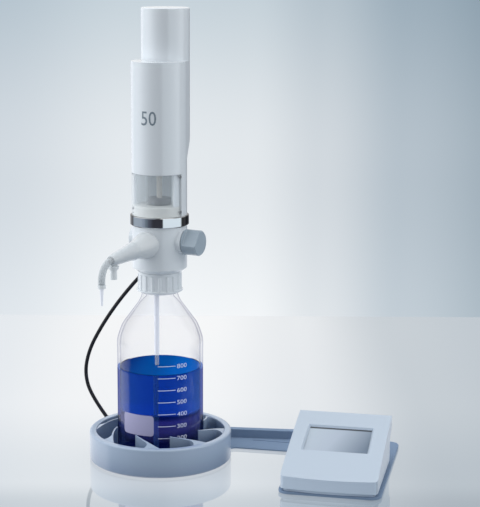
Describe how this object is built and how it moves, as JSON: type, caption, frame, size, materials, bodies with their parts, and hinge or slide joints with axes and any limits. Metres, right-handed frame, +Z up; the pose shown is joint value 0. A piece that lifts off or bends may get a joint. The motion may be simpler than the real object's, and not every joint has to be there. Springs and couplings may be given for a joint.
{
  "type": "motorized bottle-top titration dispenser",
  "caption": "Motor-driven bottle-top burette head on a glass reagent bottle in a vaned round holder, with a touch display unit on the holder's arm.",
  "frame": {"origin": "on the bench under the bottle's axis", "axes": "+Z up, +X from the bottle along the arm to the control unit, -Y towards the person who reads the display"},
  "size_m": [0.3806, 0.2296, 0.5293],
  "materials": {
    "holder": "fine grain",
    "foot_rubber": "matt",
    "cord_black": "satin",
    "bottle_clear": "polished",
    "cylinder_clear": "polished",
    "pane_clear": "polished",
    "reagent": "liquid",
    "head_white": "satin",
    "arm_white": "satin",
    "tube_clear": "smooth",
    "knob_grey": "satin",
    "valve_white": "smooth",
    "seal": "matt",
    "ball": "polished",
    "ring_chrome": "polished",
    "steel": "bright",
    "piston_dark": "satin",
    "gear_plastic": "smooth",
    "gear_brass": "machined",
    "plate_metal": "satin",
    "motor_metal": "plated",
    "board_green": "smooth",
    "unit_shell": "satin",
    "display_glass": "anti-glare",
    "panel_dark": "smooth",
    "post_grey": "satin"
  },
  "bodies": {
    "base": {"holder_ring": "holder", "bottle_vanes": "holder", "link_arm": "holder", "unit_plate": "holder", "base_feet": "foot_rubber", "base_gland": "cord_black", "drive_cable": "cord_black"},
    "head": {"valve_block": "head_white", "neck_seal": "seal", "vent_plug": "head_white", "discharge_arm": "arm_white", "discharge_tube": "tube_clear", "tip_ferrule": "arm_white", "discharge_tip": "tube_clear", "lock_ring": "ring_chrome", "cylinder_seat": "head_white", "glass_cylinder": "cylinder_clear", "cylinder_head": "head_white", "window_pane": "pane_clear", "window_screws": "steel", "drive_housing": "head_white", "rear_cover": "head_white", "motor_housing": "head_white", "top_cap": "head_white", "gear_plate": "plate_metal", "motor_plate": "plate_metal", "plate_posts": "steel", "drive_motor": "motor_metal", "nut_bearing": "gear_brass", "drive_board": "board_green", "cable_gland": "cord_black", "suction_adapter": "arm_white", "suction_tube_upper": "tube_clear", "outlet_valve_seat": "valve_white"},
    "bottle": {"bottle_glass": "bottle_clear", "bottle_liquid": "reagent"},
    "collar": {"thread_collar": "head_white"},
    "knob": {"recirculation_knob": "knob_grey", "valve_plug": "valve_white"},
    "piston": {"piston": "piston_dark", "piston_seal": "seal", "piston_rod": "steel"},
    "nut": {"nut_gear": "gear_plastic"},
    "pinion": {"motor_pinion": "gear_brass", "motor_shaft": "steel"},
    "tip_cover": {"tip_cap": "arm_white"},
    "suction": {"suction_tube_lower": "tube_clear"},
    "inlet_valve": {"inlet_ball": "ball"},
    "outlet_valve": {"outlet_ball": "ball"},
    "unit": {"unit_top_shell": "unit_shell", "unit_bottom_shell": "unit_shell", "touch_display": "display_glass", "display_panel": "panel_dark", "unit_board": "board_green", "unit_posts": "post_grey", "rear_socket": "panel_dark"}
  },
  "joints": [
    {"name": "head_lift", "type": "slide", "parent": "base", "child": "head", "axis": [0, 0, 1], "range_m": [0, 0.045], "deforming": ["drive_cable"]},
    {"name": "bottle_turn", "type": "hinge", "parent": "head", "child": "bottle", "pos_m": [0, 0, 0.1], "axis": [0, 0, 1], "continuous": true},
    {"name": "collar_turn", "type": "hinge", "parent": "head", "child": "collar", "pos_m": [0, 0, 0.22], "axis": [0, 0, 1], "range_deg": [0, 630]},
    {"name": "knob_turn", "type": "hinge", "parent": "head", "child": "knob", "pos_m": [0, 0, 0.2635], "axis": [-0.9632, 0.2689, 0], "range_deg": [0, 90]},
    {"name": "piston_stroke", "type": "slide", "parent": "head", "child": "piston", "axis": [0, 0, 1], "range_m": [0, 0.0873]},
    {"name": "nut_spin", "type": "hinge", "parent": "head", "child": "nut", "pos_m": [0, 0, 0.4218], "axis": [0, 0, 1], "range_deg": [0, 3142.8]},
    {"name": "pinion_spin", "type": "hinge", "parent": "head", "child": "pinion", "pos_m": [0.00659, 0.0236, 0.4218], "axis": [0, 0, 1], "range_deg": [-6857.02, 0]},
    {"name": "tip_cap_pull", "type": "slide", "parent": "head", "child": "tip_cover", "axis": [0, 0, -1], "range_m": [0, 0.012]},
    {"name": "suction_telescope", "type": "slide", "parent": "head", "child": "suction", "axis": [0, 0, 1], "range_m": [0, 0.045]},
    {"name": "inlet_valve_lift", "type": "slide", "parent": "head", "child": "inlet_valve", "axis": [0, 0, 1], "range_m": [0, 0.0012]},
    {"name": "outlet_valve_lift", "type": "slide", "parent": "head", "child": "outlet_valve", "axis": [-0.2684, -0.9614, -0.061], "range_m": [0, 0.0012]},
    {"name": "unit_lift", "type": "slide", "parent": "base", "child": "unit", "axis": [0, 0, 1], "range_m": [0, 0.04]}
  ],
  "couplings": [
    {"joint": "nut_spin", "follows": "piston_stroke", "rad_per_m": 628.32},
    {"joint": "pinion_spin", "follows": "piston_stroke", "rad_per_m": -1370.9}
  ]
}
